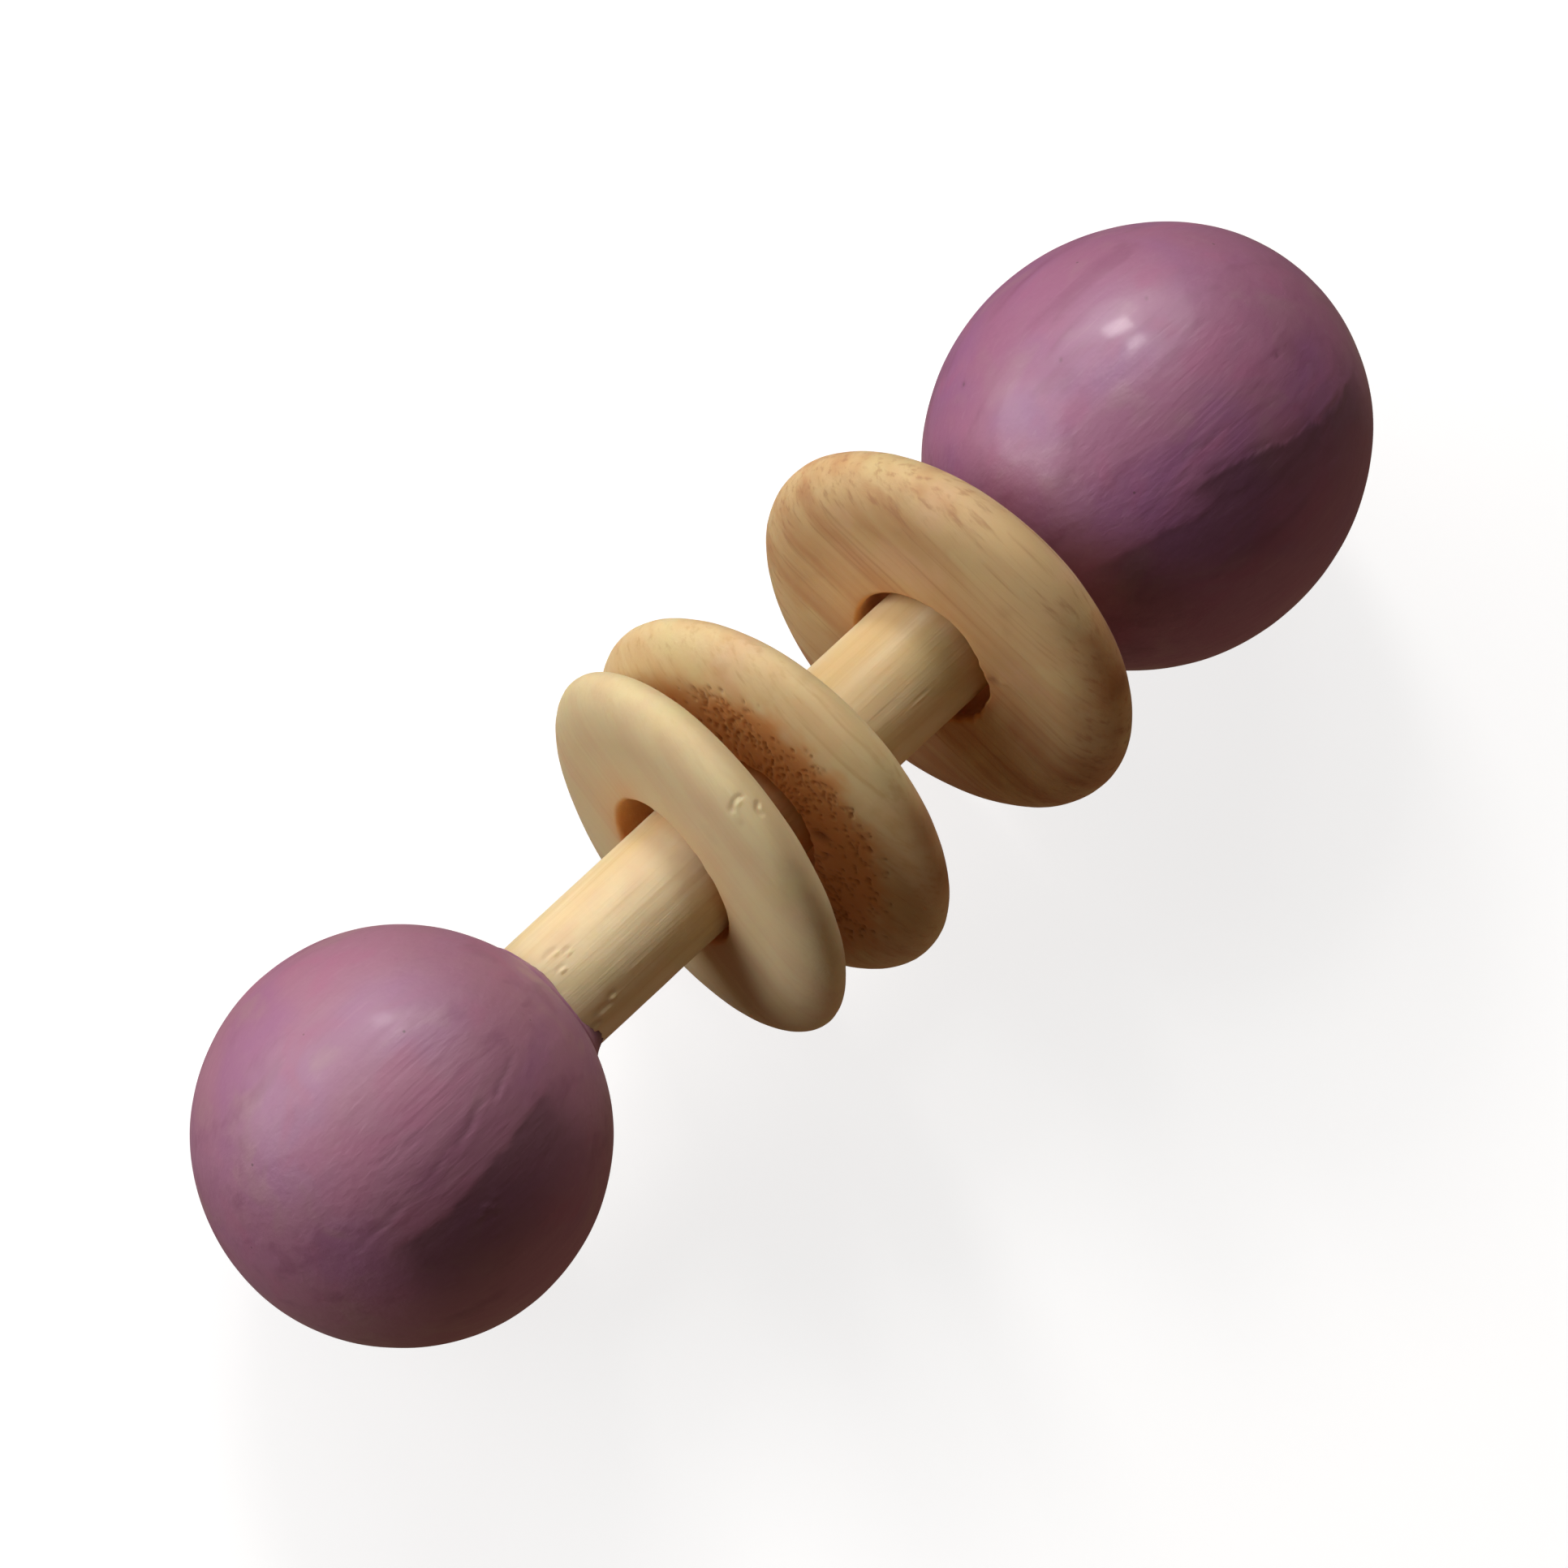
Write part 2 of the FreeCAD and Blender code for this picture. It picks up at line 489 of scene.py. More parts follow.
def wood_material(name, seed, grain, pale, deep, streak, contrast):
    """Bare sanded wood. grain is the index of the axis that its fibres follow.

    pale and deep are the colours of its bands, and contrast is how strongly its streaks show."""
    material, tree = new_material(name)
    where = own_millimetres(tree)

    def fibres(length, width):
        """Size of lumps that are drawn out along the grain."""
        return tuple(length if axis == grain else width for axis in range(3))

    bands = noise(tree, where, fibres(60, 3.6), detail=2.0, twist=0.3, seed=seed)
    lines = noise(tree, where, fibres(30, 0.65), detail=3.0, twist=0.15, seed=seed + 4)
    hairs = noise(tree, where, fibres(6, 0.20), detail=2.0, seed=seed + 7)
    pores = noise(tree, where, fibres(1.8, 0.20), detail=1.0, seed=seed + 9)
    clouds = noise(tree, where, (8, 8, 8), detail=2.0, twist=0.4, seed=seed + 13)
    blotches = noise(tree, where, (4.5, 4.5, 4.5), detail=3.0, seed=seed + 17)

    colour = blend_colour(tree, remap(tree, bands, 0.36, 0.66), pale, deep)
    colour = blend_colour(tree, remap(tree, clouds, 0.54, 0.74, high=0.4), colour, ROSY_CLOUD)
    colour = blend_colour(tree, remap(tree, clouds, 0.47, 0.28, high=0.5), colour, YELLOW_CLOUD)
    colour = blend_colour(tree, remap(tree, lines, 0.50, 0.74, high=contrast), colour, streak)
    colour = blend_colour(tree, remap(tree, hairs, 0.55, 0.80, high=contrast * 0.25), colour, streak)
    colour = blend_colour(tree, remap(tree, pores, 0.73, 0.84, high=contrast * 0.15), colour, PORE)
    colour = blend_colour(tree, remap(tree, blotches, 0.58, 0.76, high=0.22), colour, streak)
    # Torn and browned wood, and on the dowel the painted shade between ring_1 and ring_2
    colour = blend_colour(tree, stored(tree, "torn"), colour, TORN_AND_SHADED_WOOD)
    colour = blend_colour(tree, stored(tree, "drilled"), colour, DRILLED_WOOD)
    colour = blend_colour(tree, stored(tree, "worn_and_shaded"), colour, WORN_WOOD)

    rough = remap(tree, lines, 0.3, 0.7, 0.60, 0.72)
    relief = bump(tree, lines, 0.00004)
    relief = bump(tree, hairs, 0.00003, relief)
    relief = bump(tree, blotches, 0.00010, relief)
    finish_material(
        tree,
        [
            ("Base Color", colour),
            ("Roughness", rough),
            ("Specular IOR Level", 0.42),
            ("Subsurface Weight", 0.30),
            ("Subsurface Radius", (1.0, 0.45, 0.20)),
            ("Subsurface Scale", 0.003),
            ("Sheen Weight", 0.08),
            ("Sheen Roughness", 0.5),
            ("Sheen Tint", (1.0, 0.93, 0.80, 1)),
            ("Normal", relief),
        ],
    )
    return material


# ---------------------------------------------------------------- balls


def brush_strokes(points, radius, rng):
    """Height of soft paint ridges that run along the dowel, with a slight slant."""
    angle = np.arctan2(points[:, 2], points[:, 1])
    height = np.zeros(len(points))
    for _ in range(BRUSH_STROKES):
        start = rng.uniform(-math.pi, math.pi)
        slant = rng.uniform(-14, 14)
        first = rng.uniform(-0.75, 0.35) * radius
        length = rng.uniform(0.2, 0.8) * radius
        width = rng.uniform(0.35, 1.3) * MM
        depth = rng.uniform(-0.022, 0.034) * MM
        turn = (angle - start - slant * points[:, 0] + math.pi) % (2 * math.pi) - math.pi
        off = turn * np.hypot(points[:, 1], points[:, 2])
        ends = soft_step(points[:, 0], first, first + 3 * MM)
        ends *= soft_step(points[:, 0], first + length, first + length - 4 * MM)
        height += depth * np.exp(-((off / width) ** 2)) * ends
    return height


def beside_line(points, start, end):
    """Distance in mm from a slightly wavering line between two (x, angle) places, and past its ends.

    The first is positive on the side where the angle is larger."""
    turn = np.degrees(np.arctan2(points[:, 2], points[:, 1]))
    t = np.clip((points[:, 0] / MM - start[0]) / (end[0] - start[0]), 0, 1)
    on_line = start[1] + (end[1] - start[1]) * t
    swing = np.radians((turn - on_line + 180) % 360 - 180) * np.hypot(points[:, 1], points[:, 2]) / MM
    past = points[:, 0] / MM - (start[0] + (end[0] - start[0]) * t)
    return swing + 0.35 * lumps(points, 1.6 * MM, 77), past


def scratch(points, start, end, width, depth):
    """Depth in mm of a thin scratch with a raised side, between two (x, angle) places."""
    away, past = beside_line(points, start, end)
    shape = np.exp(-((away / width) ** 2)) - 0.7 * np.exp(-(((away - 1.6 * width) / width) ** 2))
    return depth * shape * np.exp(-((past / 0.6) ** 2)) * (0.6 + 0.4 * lumps(points, 2.2 * MM, 78))


def shaded_overlap(points, start, end, reach):
    """Share of the ball's lower side past the edge of the coat over it, for reach mm: that side is sunk
    by the coat's step and darkened as painted shade.
    """
    away, past = beside_line(points, start, end)
    ends = np.exp(-((past / 2.5) ** 2))
    return ends * soft_step(away, -0.10, 0.30) * soft_step(away, reach, 0.5)


def ball_outline(radius, half_length, dowel_radius, inward):
    """Open outline from the far pole over the ball to the paint lip, down the bore to its bottom.

    Returns it with the number of its points on the skin, and on the lip."""
    flat = half_length * math.sqrt(1 - (COLLAR_FLAT_RADIUS / radius) ** 2)
    collar_angle = math.degrees(math.asin(COLLAR_FLAT_RADIUS / radius))
    steps = round(math.pi * radius / OUTLINE_SPACING)
    skin = arc((0, 0), (half_length, radius), 180, collar_angle, steps)[1:]
    lip_radius = (COLLAR_FLAT_RADIUS - dowel_radius) / 2
    lip = arc((flat, dowel_radius + lip_radius), (PAINT_LIP, lip_radius), 90, -90, LIP_STEPS)[1:]
    bore_end = -BORE_DEPTH_PAST_CENTRE
    bore = spaced([lip[-1], (bore_end, dowel_radius), (bore_end, BORE_FAN)], BORE_SPACING)[1:]
    return [(along * inward, radius) for along, radius in skin + lip + bore], len(skin), len(lip)


def press_dents(at, dents, lift, worn_and_shaded):
    """Lowers lift and darkens worn, in place, at dents of (x, angle, size, depth).

    A negative depth makes a raised speck."""
    for along, angle, size, depth in dents:
        spot = surface_spot(at, along * MM, angle)
        away = np.linalg.norm(at - spot, axis=1) / (size * MM)
        dip = np.exp(-(away**2) * 2)
        lift -= depth * MM * dip
        np.maximum(worn_and_shaded, dip * np.clip(depth * DENT_DARKENING, 0, 1), out=worn_and_shaded)


def painted_ball(name, node, inward, seed, material, dents, scratches, shaded_overlaps):
    """Turned ball with a brushed skin of paint. inward is the dowel's direction from it along X.

    dents holds (x, angle, size, depth), scratches (start, end, width, depth), and the last list gives
    the edges of coats as (start, end, reach, share of the painted shade that darkens the lower side
    past them)."""
    radius, half_length, centre = measure_ball(node, inward)
    dowel_radius = measure_dowel()[0]
    outline, skin, lip = ball_outline(radius, half_length, dowel_radius, inward)
    mesh = grid_mesh(name, turned(outline, BALL_TURNS), closed=False)
    at = vertex_values(mesh, "co")
    row = np.arange(len(at)) // BALL_TURNS
    # The last vertex but one closes the far pole, so it belongs to the outline's first row
    row[-2] = 0
    painted = np.where(row < skin, 1.0, 0.0)
    lift = uneven(at, BALL_UNEVEN, seed)
    lift += brush_strokes(at, radius, np.random.default_rng(seed))
    worn_and_shaded = np.zeros(len(at))
    for start, end, width, depth in scratches:
        groove = scratch(at, start, end, width, depth)
        lift -= groove * MM
        worn_and_shaded = np.maximum(worn_and_shaded, np.clip(groove / depth, 0, 1) * SCRATCH_DARKNESS)
    press_dents(at, dents, lift, worn_and_shaded)
    # Past each coat edge the surface steps down a little, and the lower side gets painted shade
    for start, end, reach, share in shaded_overlaps:
        lower = shaded_overlap(at, start, end, reach)
        lift -= COAT_STEP * lower
        worn_and_shaded = np.maximum(worn_and_shaded, share * lower)
    # The relief dies out towards the lip round the dowel, so that no step shows there
    fade = soft_step(inward * at[:, 0], half_length * 0.93, half_length * 0.80)
    raise_surface(mesh, lift * painted * fade)
    # The lip's darkening is partly painted shade in the joint with the dowel
    creep_and_shade = paint_creep(mesh, (row >= skin) & (row < skin + lip), inward, dowel_radius, seed)
    mark(mesh, "worn_and_shaded", np.maximum(worn_and_shaded * painted, creep_and_shade))
    place(name, mesh, Matrix.Translation(centre), "rattle", node, material)


def paint_creep(mesh, on_lip, inward, dowel_radius, seed):
    """Draws the paint's lip out along the dowel, unevenly. Returns how much each vertex darkens: partly
    darker run paint, partly painted shade in the joint between ball and dowel, strongest at the blot.
    """
    at = vertex_values(mesh, "co")
    angle = np.arctan2(at[:, 2], at[:, 1])
    around = np.stack([np.cos(angle), np.sin(angle), np.zeros(len(at))], -1)
    run = 0.20 + 0.20 * lumps(around, 0.35, seed + 6) + 0.08 * lumps(around, 0.1, seed + 7)
    blot = np.exp(-(((np.degrees(angle) - BLOT_ANGLE) / BLOT_WIDTH) ** 2))
    blot *= 0.9 + 0.25 * lumps(around, 0.08, seed + 8)
    nearness = np.clip(1 - (np.hypot(at[:, 1], at[:, 2]) - dowel_radius) / (1.0 * MM), 0, 1)
    lip = on_lip * nearness**2
    at[:, 0] += inward * PAINT_CREEP * lip * np.maximum(run, blot)
    set_places(mesh, at)
    # Painted shade in the joint with the dowel, darkest at the blot
    return lip * np.clip(0.25 + 0.75 * blot, 0, 0.9)


def surface_spot(points, along, angle):
    """The outermost vertex near a place given along the axis and as an angle about it."""
    turn = np.arctan2(points[:, 2], points[:, 1]) - math.radians(angle)
    turn = np.abs((turn + math.pi) % (2 * math.pi) - math.pi)
    across = np.hypot(points[:, 1], points[:, 2])
    away = np.abs(points[:, 0] - along) + turn * across.max() - across * 0.5
    return points[away.argmin()]


# ---------------------------------------------------------------- dowel


def flake(at, angle, along, length, width, height, rng):
    """Height of a small torn flake: a ragged raised edge beside a shallow dent."""
    turn = np.arctan2(at[:, 2], at[:, 1]) - math.radians(angle)
    off = ((turn + math.pi) % (2 * math.pi) - math.pi) * np.hypot(at[:, 1], at[:, 2])
    off = off / width
    far = (at[:, 0] - along) / length
    ragged = lumps(at, (0.8 * MM, 0.4 * MM, 0.4 * MM), int(rng.integers(1000)))
    edge = np.exp(-((off - 0.6) ** 2) * 3 - far**2 * 2) * (0.8 + 0.6 * ragged)
    dent = np.exp(-((off + 0.7) ** 2) * 2 - far**2 * 1.5)
    return height * (edge - 0.35 * dent)


def dowel_outline(radius, half, small_face, large_face):
    """Open outline from end to end, with its points closest together beside the small ball."""
    start = [(-half, DOWEL_FAN), (-half, radius - DOWEL_CHAMFER), (-half + DOWEL_CHAMFER, radius)]
    end = [(half - DOWEL_CHAMFER, radius), (half, radius - DOWEL_CHAMFER), (half, DOWEL_FAN)]
    outline = spaced(start + [(small_face - MM, radius)], HIDDEN_SPACING)
    outline += spaced([outline[-1], (small_face + 9 * MM, radius)], FLAKED_SPACING)[1:]
    outline += spaced([outline[-1], (large_face + MM, radius)], OUTLINE_SPACING)[1:]
    return outline + spaced([outline[-1]] + end, HIDDEN_SPACING)[1:]


def painted_shade_band(at, radius, middle):
    """Share of painted shade, as browner wood, on the dowel's upper side between ring_1 and ring_2 at
    rest.
    """
    first = mid("ring_1").x - middle
    second = mid("ring_2").x - middle
    shade_share = soft_step(at[:, 0], first, first + 2 * MM) * soft_step(at[:, 0], second + MM, second - MM)
    shade_share *= soft_step(at[:, 2], -0.2 * radius, 0.5 * radius)
    return shade_share * (0.75 + 0.3 * lumps(at, 1.5 * MM, 35))


def dowel(name, node, material):
    """Straight dowel with grain, pores and torn flakes where it is bare between the balls."""
    radius, length, centre = measure_dowel()
    small_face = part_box("end_ball_small")[1].x - centre.x
    large_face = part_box("end_ball_large")[0].x - centre.x
    outline = dowel_outline(radius, length / 2, small_face, large_face)
    mesh = grid_mesh(name, turned(outline, DOWEL_TURNS), closed=False)
    at = vertex_values(mesh, "co")
    bare = soft_step(at[:, 0], small_face - 0.3 * MM, small_face + 0.6 * MM)
    bare *= soft_step(at[:, 0], large_face + 0.3 * MM, large_face - 0.6 * MM)
    lift = uneven(at, DOWEL_UNEVEN, 31)
    lift -= 0.03 * MM * soft_step(lumps(at, (7 * MM, 1.1 * MM, 1.1 * MM), 34), 0.60, 0.90)
    rng = np.random.default_rng(7)
    nicks = np.zeros(len(at))
    for along, angle, size, width, height in DOWEL_FLAKES:
        nicks += flake(at, angle, small_face + along * MM, size * MM, width * MM, height * MM, rng)
    raise_surface(mesh, (lift + nicks) * bare)
    mark(mesh, "worn_and_shaded", np.clip(-nicks / (0.12 * MM), 0, 0.15) * bare)
    # The share stored as torn here is painted shade where ring_1 and ring_2 stand over the dowel
    mark(mesh, "torn", painted_shade_band(at, radius, centre.x))
    mark(mesh, "drilled", np.zeros(len(at)))
    place(name, mesh, Matrix.Translation(centre), "rattle", node, material)


# ---------------------------------------------------------------- rings


def ring_outline(radius, thickness, hole_radius, near_spacing):
    """Closed outline of the section: rounded rim, near face, eased hole, far face."""
    half = thickness / 2
    ease = RING_HOLE_EASING
    face = radius - RING_RIM_ROUNDING
    rim = arc((0, face), (half, RING_RIM_ROUNDING), 0, 180, RIM_STEPS)
    near = spaced([rim[-1], (-half, hole_radius + ease)], near_spacing)[1:]
    mouth = arc((-half + ease, hole_radius + ease), (ease, ease), 180, 270, EASING_STEPS)[1:]
    wall = spaced([mouth[-1], (half - ease, hole_radius)], OUTLINE_SPACING)[1:]
    back_mouth = arc((half - ease, hole_radius + ease), (ease, ease), 270, 360, EASING_STEPS)[1:]
    back = spaced([back_mouth[-1], rim[0]], OUTLINE_SPACING)[1:-1]
    return rim + near + mouth + wall + back_mouth + back


def pits(at, rng, count, reach):
    """Depth in mm of torn end-grain pits. reach is how likely each vertex is to be in one's middle."""
    depth = np.zeros(len(at))
    face = np.flatnonzero(reach > 0.02)
    chances = reach[face] / reach[face].sum()
    for spot in rng.choice(face, count, p=chances):
        away = (at - at[spot]) / MM
        size = rng.uniform(0.16, 0.36)
        stretch = rng.uniform(0.6, 1.0)
        tilt = rng.uniform(0, math.pi)
        u = away[:, 1] * math.cos(tilt) + away[:, 2] * math.sin(tilt)
        v = -away[:, 1] * math.sin(tilt) + away[:, 2] * math.cos(tilt)
        near = np.exp(-((u / size) ** 2 + (v / (size * stretch)) ** 2) * 1.6) * (np.abs(away[:, 0]) < 1)
        depth = np.maximum(depth, rng.uniform(0.10, 0.34) * near)
    return depth


def spots(at, places):
    """Share of soft spots, from (x, distance from the axis, angle, size)."""
    share = np.zeros(len(at))
    for along, out, angle, size in places:
        turn = math.radians(angle)
        spot = np.array([along, out * math.cos(turn), out * math.sin(turn)])
        away = np.linalg.norm(at / MM - spot, axis=1) / size
        share = np.maximum(share, np.exp(-(away**2) * 1.5))
    return share


def crescent(at, place_of, size, facing, depth):
    """Depth in mm of a fingernail-like dent in the rim, with a raised inner side.

    place_of is (x, distance from the axis, angle), and facing is where its bow points, in degrees."""
    along, out, angle = place_of
    turn = math.radians(angle)
    spot = np.array([along, out * math.cos(turn), out * math.sin(turn)])
    away = at / MM - spot
    u = away[:, 0]
    v = -away[:, 1] * math.sin(turn) + away[:, 2] * math.cos(turn)
    from_middle = np.hypot(u, v)
    side = np.cos(np.arctan2(v, u) - math.radians(facing))
    reach = soft_step(side, 0.0, 0.7) * (np.hypot(away[:, 1], away[:, 2]) < 3)
    groove = np.exp(-(((from_middle - size) / 0.24) ** 2))
    lip = 0.6 * np.exp(-(((from_middle - 0.55 * size) / 0.26) ** 2))
    return depth * reach * (groove - lip)


def frayed_mouth(mesh, hole, thickness, from_hole, side, seed):
    """Pulls torn fibres on the near face in over one side of the hole. side is an angle in degrees."""
    at = vertex_values(mesh, "co")
    inward = -(at[:, 1:] - hole)
    inward /= np.linalg.norm(inward, axis=1)[:, None]
    pull = soft_step(from_hole, FRAY_REACH, 0.0)
    pull *= soft_step(at[:, 0], -thickness * 0.20, -thickness * 0.42)
    towards = -inward @ np.array([math.cos(math.radians(side)), math.sin(math.radians(side))])
    pull *= soft_step(towards, -0.2, 0.5) * (0.80 + 0.25 * lumps(at, 0.9 * MM, seed + 12))
    at[:, 1:] += inward * (FRAYED_MOUTH * pull)[:, None]
    set_places(mesh, at)


def ring_points(radius, thickness, hole_radius, hole, near_spacing):
    """Points of the turned section: its circles' middle shifts from the rim's to the hole's."""
    outline = ring_outline(radius, thickness, hole_radius, near_spacing)
    past_easing = np.array(outline)[:, 1] - hole_radius - RING_HOLE_EASING
    face_width = radius - RING_RIM_ROUNDING - hole_radius - RING_HOLE_EASING
    share = 1 - np.clip(past_easing / face_width, 0, 1)
    return turned(outline, RING_TURNS, share[:, None] * hole[None, :])


def press_nicks(at, nicks, dents, lift, worn_and_shaded):
    """Lowers lift and darkens worn, in place, at nicks and at fingernail-like dents."""
    for along, out, angle, size, depth in nicks:
        dip = spots(at, [(along, out, angle, size)])
        lift -= depth * MM * dip
        np.maximum(worn_and_shaded, dip * np.clip(depth * 2, 0, 0.6), out=worn_and_shaded)
    for place_of, size, facing, depth in dents:
        dip = crescent(at, place_of, size, facing, depth)
        lift -= dip * MM
        np.maximum(worn_and_shaded, np.clip(dip, 0, 1) * 0.8, out=worn_and_shaded)


def torn_face(at, thickness, from_hole, count, seed):
    """Pit depth in mm, fuzz height and browned share of the torn face towards the small ball."""
    low = at[:, 0] < -thickness * 0.33
    out = np.hypot(at[:, 1], at[:, 2]) / MM
    patchy = 0.25 + 0.75 * soft_step(lumps(at, 4 * MM, seed + 4), -0.3, 0.4)
    reach = low * soft_step(out, TORN_REACH, 14.6) * patchy
    reach *= from_hole > 0.3 * MM
    fuzz = 0.045 * MM * lumps(at, 0.5 * MM, seed + 5) * reach
    ragged_out = out + 1.2 * lumps(at, 2.0 * MM, seed + 7) + 0.5 * lumps(at, 0.6 * MM, seed + 8)
    browned = 0.95 * low * soft_step(ragged_out, 18.2, 13.2)
    return pits(at, np.random.default_rng(seed), count, reach), fuzz, browned


def ring(node, seed, material, nicks, dents=(), smudges=(), pitted=0, frayed=None):
    """Turned ring with sanding marks, wear and an eased hole. Its body has its node's name.

    nicks holds (x, distance from the axis, angle, size, depth), dents the inputs of crescent(), and
    smudges (x, distance, angle, size). pitted is the number of pits in the face towards the small
    ball, and frayed the side, as an angle, from which torn fibres reach into the hole."""
    radius, thickness, hole_radius, hole, placement = measure_ring(node)
    near_spacing = PITTED_SPACING if pitted else OUTLINE_SPACING
    points = ring_points(radius, thickness, hole_radius, hole, near_spacing)
    mesh = grid_mesh(node + "_wood", points, closed=True)
    at = vertex_values(mesh, "co")
    from_hole = np.hypot(at[:, 1] - hole[0], at[:, 2] - hole[1]) - hole_radius
    lift = uneven(at, RING_UNEVEN, seed)
    lift += 0.05 * MM * lumps(at, 1.3 * MM, seed + 3) * soft_step(from_hole, 0.9 * MM, 0.2 * MM)
    worn_and_shaded = np.zeros(len(at))
    press_nicks(at, nicks, dents, lift, worn_and_shaded)
    torn = 0.55 * np.exp(-np.clip(from_hole, 0, 1) / (2.2 * MM))
    torn *= 0.75 + 0.5 * lumps(at, 4 * MM, seed + 9)
    if pitted:
        holes, fuzz, browned = torn_face(at, thickness, from_hole, pitted, seed)
        lift -= holes * MM
        lift += fuzz
        worn_and_shaded = np.maximum(worn_and_shaded, np.clip(holes * 1.8, 0, PIT_DARKNESS))
        torn = np.maximum(torn, browned)
    around_smudges = [(along, out, angle, 2 * size) for along, out, angle, size in smudges]
    patchy = 0.8 + 0.3 * lumps(at, 2 * MM, seed + 10)
    torn = np.maximum(torn, SMUDGE_BROWNING * spots(at, around_smudges) * patchy)
    worn_and_shaded = np.maximum(worn_and_shaded, SMUDGE_DARKNESS * spots(at, smudges))
    raise_surface(mesh, lift)
    if frayed is not None:
        frayed_mouth(mesh, hole, thickness, from_hole, frayed, seed)
    mark(mesh, "worn_and_shaded", worn_and_shaded)
    mark(mesh, "torn", torn)
    mark(mesh, "drilled", soft_step(from_hole, 0.45 * MM, 0.05 * MM))
    place(node + "_wood", mesh, placement, node, node, material)


# ---------------------------------------------------------------- the rattle

paint_small = paint_material(
    "mauve_paint_small",
    seed=2.0,
    tints=[(0.352, 0.141, 0.222), (0.366, 0.114, 0.209), (0.325, 0.122, 0.237), (0.357, 0.180, 0.227)],
    roughness=0.57,
    coat=0.05,
)
paint_large = paint_material(
    "mauve_paint_large",
    seed=9.0,
    tints=[(0.325, 0.110, 0.212), (0.35, 0.092, 0.202), (0.290, 0.098, 0.232), (0.34, 0.158, 0.226)],
    roughness=0.56,
    coat=0.20,
)
wood_dowel = wood_material(
    "dowel_grain",
    seed=3.0,
    grain=0,
    pale=(0.82, 0.67, 0.41, 1),
    deep=(0.73, 0.53, 0.255, 1),
    streak=(0.56, 0.35, 0.14, 1),
    contrast=0.22,
)
wood_pale = wood_material(
    "ring_grain_pale",
    seed=21.0,
    grain=1,
    pale=(0.70, 0.58, 0.32, 1),
    deep=(0.68, 0.52, 0.29, 1),
    streak=(0.52, 0.35, 0.18, 1),
    contrast=0.12,
)
wood_rough = wood_material(
    "ring_grain_rough",
    seed=33.0,
    grain=1,
    pale=(0.72, 0.56, 0.295, 1),
    deep=(0.68, 0.47, 0.23, 1),
    streak=(0.46, 0.23, 0.08, 1),
    contrast=0.30,
)
wood_streaked = wood_material(
    "ring_grain_streaked",
    seed=45.0,
    grain=1,
    pale=(0.65, 0.46, 0.225, 1),
    deep=(0.54, 0.30, 0.135, 1),
    streak=(0.40, 0.185, 0.085, 1),
    contrast=0.55,
)

painted_ball(
    "ball_small_paint",
    "end_ball_small",
    inward=1,
    seed=11,
    material=paint_small,
    dents=[
        (-2.7, 121, 0.5, -0.13),
        (-1.9, 123, 0.4, -0.11),
        (-3.6, 122, 0.4, -0.10),
        (-1.2, 120, 0.35, -0.09),
    ],
    scratches=[
        ((-13.3, 109), (-9.0, 106), 0.30, 0.10),
        ((-1.0, 102), (3.0, 98), 0.38, 0.09),
        ((5.0, 99), (8.0, 96), 0.34, 0.08),
        ((-6.0, 104), (-3.0, 102), 0.30, 0.05),
    ],
    shaded_overlaps=[((-9.0, 116), (7.0, 110), 12.0, 0.52)],
)
painted_ball(
    "ball_large_paint",
    "end_ball_large",
    inward=-1,
    seed=23,
    material=paint_large,
    dents=[(-11.8, 24, 0.35, 0.10), (-6.1, 55, 0.30, 0.07), (4.0, 60, 0.2, 0.05), (9.0, 96, 0.2, 0.05)],
    scratches=[
        ((-4.0, 106), (12.0, 121), 0.36, 0.10),
        ((-11.0, 105), (-6.0, 103), 0.30, 0.05),
        ((-5.0, 99), (1.0, 101), 0.30, 0.04),
    ],
    shaded_overlaps=[((-4.0, 107), (13.0, 122), 11.0, 0.60), ((-14.0, 111), (-2.0, 116), 11.0, 0.44)],
)
dowel("handle_dowel_wood", "handle_dowel", wood_dowel)
ring(
    "ring_1",
    seed=41,
    material=wood_pale,
    nicks=[(-1.8, 19.0, 92, 0.4, 0.05), (1.5, -19.0, 40, 0.6, 0.08)],
    dents=[((-0.9, 19.9, 88), 0.75, 250, 0.17), ((0.6, 19.9, 92), 0.60, 200, 0.19)],
)
ring(
    "ring_2",
    seed=53,
    material=wood_rough,
    nicks=[(-3.0, 9.0, 132, 0.9, 0.30)],
    smudges=[(1.5, 19.9, 143, 2.6), (1.8, 19.5, 125, 2.2)],
    pitted=1100,
    frayed=90,
)
ring(
    "ring_3",
    seed=67,
    material=wood_streaked,
    nicks=[(-3.7, 8.6, 141, 0.7, 0.18), (-3.7, 9.4, 139, 0.5, -0.15)],
    smudges=[(0.4, 20.8, 136, 2.0), (2.4, 19.5, 122, 2.4)],
    frayed=185,
)


# ---------------------------------------------------------------- floor, light and camera


def picture_axes():
    """Right, up and towards the camera in the main view, in the row frame."""
    lean = math.radians(VIEW_LEAN)
    slope = math.radians(DOWEL_SLOPE)
    along = Vector((math.cos(lean), 0, math.sin(lean)))
    across = Vector((0, 1, 0))
    right = along * math.cos(slope) - across * math.sin(slope)
    up = along * math.sin(slope) + across * math.cos(slope)
    return right, up, right.cross(up)


RIGHT, UP, TOWARDS = picture_axes()
TARGET = (cad_box[0] + cad_box[1]) / 2


def soft_light(name, direction, distance, size, power, colour, mirrored=True):
    """Area light that faces the rattle. direction is (right, up, towards) in the main view.

    A light that isn't mirrored lights the surfaces but leaves no highlight on them."""
    way = (RIGHT * direction[0] + UP * direction[1] + TOWARDS * direction[2]).normalized()
    data = bpy.data.lights.new(name, "AREA")
    data.shape = "RECTANGLE"
    data.size, data.size_y = size
    data.energy = power
    data.color = colour
    light = bpy.data.objects.new(name, data)
    light.location = TARGET + way * distance
    light.rotation_euler = (-way).to_track_quat("-Z", "Y").to_euler()
    light.visible_glossy = mirrored
    bpy.context.scene.collection.objects.link(light)


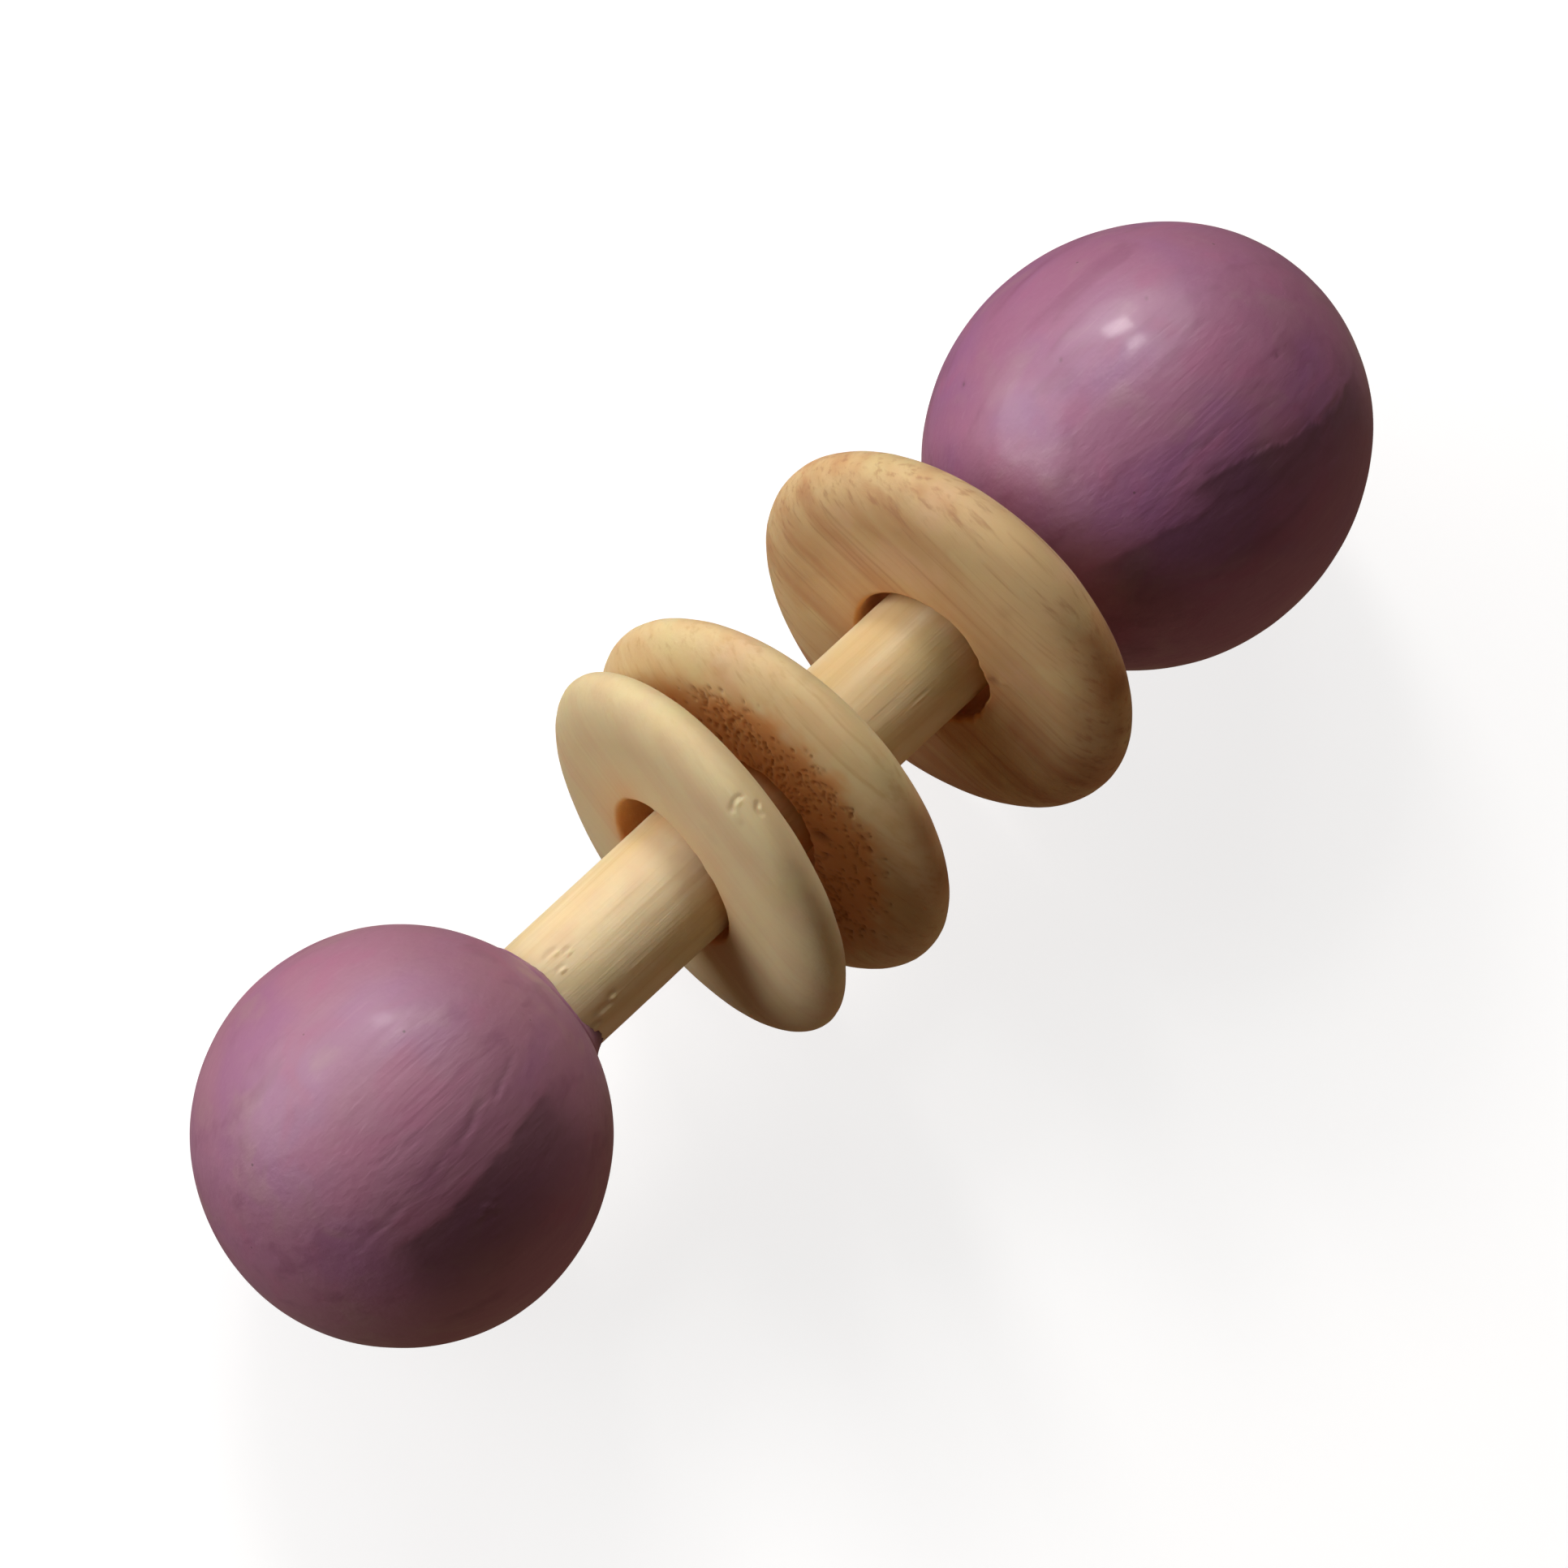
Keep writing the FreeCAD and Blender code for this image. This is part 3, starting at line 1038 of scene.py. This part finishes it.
def floor():
    """Plain pale floor just under the rattle, which curves up into a wall all round."""
    material, tree = new_material("floor_pale")
    finish_material(
        tree,
        [
            ("Base Color", (0.40, 0.40, 0.40, 1)),
            ("Roughness", 0.9),
            ("Specular IOR Level", 0.1),
            ("Emission Color", (1, 1, 1, 1)),
            ("Emission Strength", 0.80),
        ],
    )
    bend = WALL_HEIGHT / 3
    flat = spaced([(0, FLOOR_FAN), (0, FLOOR_REACH)], FLOOR_SPACING)
    curve = arc((bend, FLOOR_REACH), (-bend, bend), 0, 90, FLOOR_CURVE_STEPS)[1:]
    wall = spaced([curve[-1], (WALL_HEIGHT, FLOOR_REACH + bend)], FLOOR_SPACING)[1:]
    mesh = grid_mesh("floor", turned(flat + curve + wall, FLOOR_TURNS), closed=False, capped=(0,))
    mesh.transform(Matrix.Rotation(math.radians(-90), 4, "Y"))
    mesh.materials.append(material)
    ground = bpy.data.objects.new("floor", mesh)
    # The camera sees the floor, but it doesn't light the pieces or hold light back: surroundings()
    # gives them the light that a floor would throw up
    ground.visible_diffuse = False
    ground.visible_glossy = False
    ground.visible_shadow = False
    bpy.context.scene.collection.objects.link(ground)


def surroundings():
    """Dim warm room above, and below it the light that a lit floor throws back up."""
    world = bpy.data.worlds.new("studio")
    world.use_nodes = True
    tree = world.node_tree
    way = add(tree, "ShaderNodeTexCoord").outputs["Generated"]
    height = add(tree, "ShaderNodeSeparateXYZ", [(0, way)]).outputs[2]
    share = remap(tree, height, -0.25, 0.12)
    colour = blend_colour(tree, share, BOUNCE, ROOM)
    tree.links.new(colour, tree.nodes["Background"].inputs["Color"])
    bpy.context.scene.world = world


def camera():
    """Camera at the photograph's viewing angle, with the rattle's middle near the picture's."""
    data = bpy.data.cameras.new("camera")
    data.lens = CAMERA_LENS
    data.sensor_width = 36
    data.clip_end = 20
    eye = bpy.data.objects.new("camera", data)
    axes = Matrix((RIGHT, UP, TOWARDS)).transposed().to_4x4()
    aim = TARGET + RIGHT * FRAMING[0] + UP * FRAMING[1]
    eye.matrix_world = Matrix.Translation(aim + TOWARDS * CAMERA_DISTANCE) @ axes
    bpy.context.scene.collection.objects.link(eye)
    bpy.context.scene.camera = eye


floor()
surroundings()
soft_light("window", (-0.16, 0.89, 0.43), 1.0, (1.05, 0.70), 4.9, (1.0, 0.99, 0.98))
soft_light("doorway", (-0.86, 0.24, 0.45), 1.0, (0.85, 0.65), 7.0, (1.0, 0.98, 0.98))
soft_light("lamp", (-0.21, 0.905, 0.395), 1.0, (0.18, 0.15), 2.5, (1.0, 0.98, 0.95))
soft_light("lamp_low", (-0.08, 0.82, 0.57), 1.0, (0.13, 0.11), 0.9, (1.0, 0.98, 0.95))
soft_light("far_wall", (0.60, -0.68, -0.22), 1.2, (1.3, 0.6), 1.25, (1.0, 0.73, 0.56), mirrored=False)
soft_light("side_wall", (0.94, 0.05, 0.34), 1.2, (1.0, 0.8), 0.6, (1.0, 0.73, 0.52), mirrored=False)
camera()
bpy.context.scene.view_settings.view_transform = "Standard"
